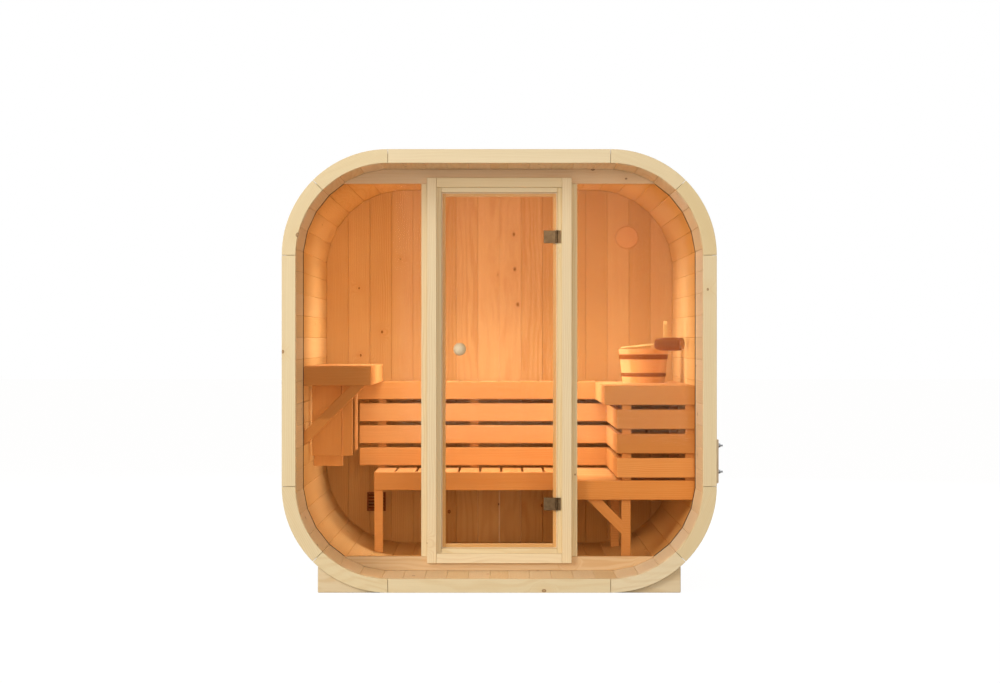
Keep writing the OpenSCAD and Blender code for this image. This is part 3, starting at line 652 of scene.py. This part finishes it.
def ladle():
    """A turned cup, pale inside, with a long slim handle."""
    low, high = (Vector(c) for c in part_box("ladle"))
    cup_r = (high.z - low.z) / 2
    cup_len = 150 * MM
    turn = math.radians(-30)
    axis = Vector((math.cos(turn), math.sin(turn), 0))
    tail = Vector((high.x - cup_len * axis.x + cup_r * axis.y,
                   low.y - cup_len * axis.y + cup_r * axis.x, high.z - cup_r))
    grip = Vector((low.x + 5 * MM, high.y - 3 * MM, low.z + 14 * MM))

    outside = [(0, 0), (0.5, 0), (0.7, 0.02), (0.84, 0.07), (0.95, 0.2), (1, 0.45), (0.985, 0.75),
               (0.95, 0.93), (0.93, 0.985)]
    inside = [(0.88, 1), (0.82, 0.99), (0.79, 0.95), (0.8, 0.6), (0.74, 0.2), (0.55, 0.13), (0, 0.12)]
    cup = turned([(r * cup_r, share * cup_len) for r, share in outside + inside])
    cup.transform(Matrix.Translation(tail) @ axis.to_track_quat("Z", "X").to_matrix().to_4x4())
    cup_piece = make("ladle_cup", cup, dark_wood, smooth=40)
    cup_piece.data.materials.append(seat_wood)
    for face in cup_piece.data.polygons:
        out = face.center - tail
        along = out.dot(axis)
        if along > 0.1 * cup_len and (out - axis * along).length < 0.81 * cup_r:
            face.material_index = 1

    reach = grip - tail
    radii_mm = [(0, 0), (4.4, 0), (5.4, 0.004), (5.6, 0.3), (4.9, 0.75), (5.5, 0.94), (5.9, 0.975),
                (5.2, 0.995), (3.0, 1.0), (0, 1.0)]
    rod = turned([(r * MM, share * reach.length) for r, share in radii_mm], 20)
    rod.transform(Matrix.Translation(tail) @ reach.to_track_quat("Z", "X").to_matrix().to_4x4())
    make("ladle_handle", rod, knob_wood, smooth=40)
    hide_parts("ladle")


ladle()

# ---------------------------------------------------------- floor, light

WHITE = (1, 1, 1, 1)


def floor():
    """A floor that looks white to the camera and keeps a faint shadow of the cabin."""
    s = Shader("studio_floor")
    lit = s.node("BsdfDiffuse", {"Color": (0.5, 0.5, 0.5, 1)})
    glow = s.node("Emission", {"Color": WHITE, "Strength": 1.15})
    seen = s.node("LightPath").outputs["Is Camera Ray"]
    share = s.math("MULTIPLY", seen, 0.84)
    mixed = s.node("MixShader", {0: share, 1: lit.outputs[0], 2: glow.outputs[0]})
    half = 60
    corners = [(-half, -half, 0), (half, -half, 0), (half, half, 0), (-half, half, 0)]
    mesh = bpy.data.meshes.new("studio_floor")
    mesh.from_pydata(corners, [], [(0, 1, 2, 3)])
    mesh.materials.append(s.finish(mixed.outputs[0]))
    plane = bpy.data.objects.new("studio_floor", mesh)
    plane.location.z = cad_low.z
    bpy.context.collection.objects.link(plane)


floor()


def lamp(name, place, aim, size, watts, colour=(1, 1, 1), inside=False, spread=180):
    """A rectangular area lamp at a place, turned towards its aim. Its spread is in degrees."""
    light = bpy.data.lights.new(name, "AREA")
    light.shape = "RECTANGLE"
    light.size, light.size_y = size
    light.energy = watts
    light.color = colour
    light.spread = math.radians(spread)
    lamp_object = bpy.data.objects.new(name, light)
    lamp_object.location = place
    lamp_object.rotation_euler = (Vector(aim) - Vector(place)).to_track_quat("-Z", "Y").to_euler()
    bpy.context.collection.objects.link(lamp_object)
    lamp_object.visible_camera = False
    if inside:
        lamp_object.visible_glossy = False
        lamp_object.visible_transmission = False


middle = (cad_low + cad_high) / 2
lamp("key", (-7.8, -8.4, 4.4), middle, (4.6, 4.6), 650)
lamp("front_fill", (0.6, -9.5, 1.8), middle, (3.0, 3.0), 205)
lamp("rear_fill", (1.5, 6.5, 4.0), middle, (4.0, 4.0), 260)

# In the room: a long lamp on the ceiling, one for the back wall, the daylight that comes in through
# the bronze glass, and one towards each side
room_light = (1.0, 1.0, 0.94)
through_glass = (1.0, 0.73, 0.41)
lamp("ceiling_lamp", (0.0, 0.18, 1.98), (0.0, 0.18, 0), (1.3, 0.4), 10.8, room_light,
     inside=True, spread=105)
lamp("wall_lamp", (0.0, -0.45, 1.9), (0.0, 0.925, 1.3), (0.9, 0.2), 1.6, room_light,
     inside=True, spread=110)
lamp("glass_glow", (0.0, -0.5, 1.05), (0.0, 0.9, 0.9), (1.9, 1.3), 1.65, through_glass, inside=True)
for side, way in (("left", -1), ("right", 1)):
    lamp(side + "_side_lamp", (0.0, 0.1, 1.05), (way, 0.1, 0.95), (0.6, 0.5), 2.0, room_light,
         inside=True, spread=100)


def world():
    """White where the camera, gloss or glass looks, and plain soft light on everything else."""
    scene_world = bpy.data.worlds.new("studio")
    bpy.context.scene.world = scene_world
    scene_world.use_nodes = True
    tree = scene_world.node_tree
    tree.nodes.clear()
    path = tree.nodes.new("ShaderNodeLightPath")
    seen = path.outputs["Is Camera Ray"]
    for other in ("Is Glossy Ray", "Is Transmission Ray"):
        most = tree.nodes.new("ShaderNodeMath")
        most.operation = "MAXIMUM"
        tree.links.new(seen, most.inputs[0])
        tree.links.new(path.outputs[other], most.inputs[1])
        seen = most.outputs[0]
    soft = tree.nodes.new("ShaderNodeBackground")
    soft.inputs["Color"].default_value = (1.0, 0.85, 0.68, 1)
    soft.inputs["Strength"].default_value = 0.36
    white = tree.nodes.new("ShaderNodeBackground")
    white.inputs["Color"].default_value = WHITE
    white.inputs["Strength"].default_value = 1.0
    mixed = tree.nodes.new("ShaderNodeMixShader")
    tree.links.new(seen, mixed.inputs[0])
    tree.links.new(soft.outputs[0], mixed.inputs[1])
    tree.links.new(white.outputs[0], mixed.inputs[2])
    out = tree.nodes.new("ShaderNodeOutputWorld")
    tree.links.new(mixed.outputs[0], out.inputs["Surface"])


world()

# ---------------------------------------------------------------- camera

# Straight at the front, from a little above the middle
eye_across, eye_distance, eye_height = 0.0035, 11.7, 1.1865
eye = bpy.data.cameras.new("camera")
eye.sensor_width = 36
eye.lens = 81.78
eye.clip_end = 200
camera = bpy.data.objects.new("camera", eye)
camera.location = (eye_across, -eye_distance, eye_height)
camera.rotation_euler = (math.radians(90), 0, 0)
bpy.context.collection.objects.link(camera)
bpy.context.scene.camera = camera
bpy.context.scene.view_settings.view_transform = "Standard"

# ---------------------------------------------------------------- finish

bpy.context.view_layer.update()
